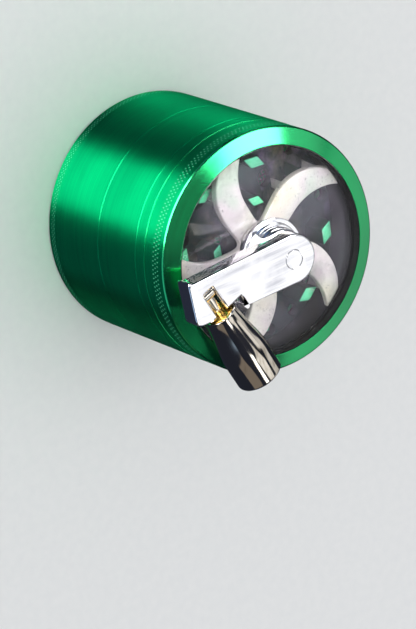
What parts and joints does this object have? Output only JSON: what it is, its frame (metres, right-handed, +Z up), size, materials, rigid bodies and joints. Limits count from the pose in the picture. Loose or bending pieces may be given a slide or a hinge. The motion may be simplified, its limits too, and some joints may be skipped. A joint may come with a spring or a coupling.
{
  "type": "hand-cranked grinder",
  "caption": "Round metal hand mill with stacked chambers, a knurled lid ring, a clear window over a bladed rotor, and a flat crank with a folding knob.",
  "frame": {"origin": "centre of the cup's underside, where the mill stands", "axes": "+Z up the mill's axis, from the cup to the crank; -Y along the crank arm at rest; +X to the side that the folded knob leans to"},
  "size_m": [0.063, 0.063, 0.0685],
  "materials": {
    "green_anodised": "turned and anodised, satin",
    "chrome": "polished",
    "knob_nickel": "polished nickel",
    "brass": "polished",
    "pale_aluminium": "tumbled, matt",
    "turned_steel": "turned",
    "steel_cloth": "woven wire",
    "nylon": "smooth",
    "clear_window": "clear acrylic",
    "black_gasket": "matt"
  },
  "bodies": {
    "cup": {"base_cup": "green_anodised"},
    "sieve": {"sieve_chamber": "green_anodised", "sieve_screen": "steel_cloth", "sieve_ring": "turned_steel"},
    "mill": {"grinding_chamber": "green_anodised"},
    "glide": {"glide_ring": "nylon"},
    "lid": {"lid_ring": "green_anodised", "window": "clear_window", "window_gasket": "black_gasket", "shaft_bush": "turned_steel", "bush_nut": "turned_steel"},
    "crank": {"crank_shaft": "turned_steel", "hub_collar": "chrome", "crank_arm": "chrome", "slip_washer": "nylon", "rotor": "pale_aluminium", "rotor_screw": "turned_steel", "fold_pin": "turned_steel"},
    "rod": {"knob_rod": "knob_nickel"},
    "knob": {"knob_grip": "knob_nickel", "knob_bush": "brass"}
  },
  "joints": [
    {"name": "sieve_unscrew", "type": "slide", "parent": "cup", "child": "sieve", "axis": [0, 0, 1], "range_m": [0, 0.02]},
    {"name": "mill_unscrew", "type": "slide", "parent": "sieve", "child": "mill", "axis": [0, 0, 1], "range_m": [0, 0.02]},
    {"name": "lid_lift", "type": "slide", "parent": "mill", "child": "glide", "axis": [0, 0, 1], "range_m": [0, 0.025]},
    {"name": "lid_turn", "type": "hinge", "parent": "glide", "child": "lid", "pos_m": [0, 0, 0.045], "axis": [0, 0, 1], "continuous": true},
    {"name": "crank_spin", "type": "hinge", "parent": "lid", "child": "crank", "pos_m": [0, 0, 0.06], "axis": [0, 0, 1], "continuous": true},
    {"name": "knob_fold", "type": "hinge", "parent": "crank", "child": "rod", "pos_m": [0, -0.0251, 0.0624], "axis": [0.3551, -0.9348, 0], "range_deg": [0, 90]},
    {"name": "knob_spin", "type": "hinge", "parent": "rod", "child": "knob", "pos_m": [0, -0.0251, 0.0624], "axis": [0.9348, 0.3551, 0], "continuous": true}
  ]
}
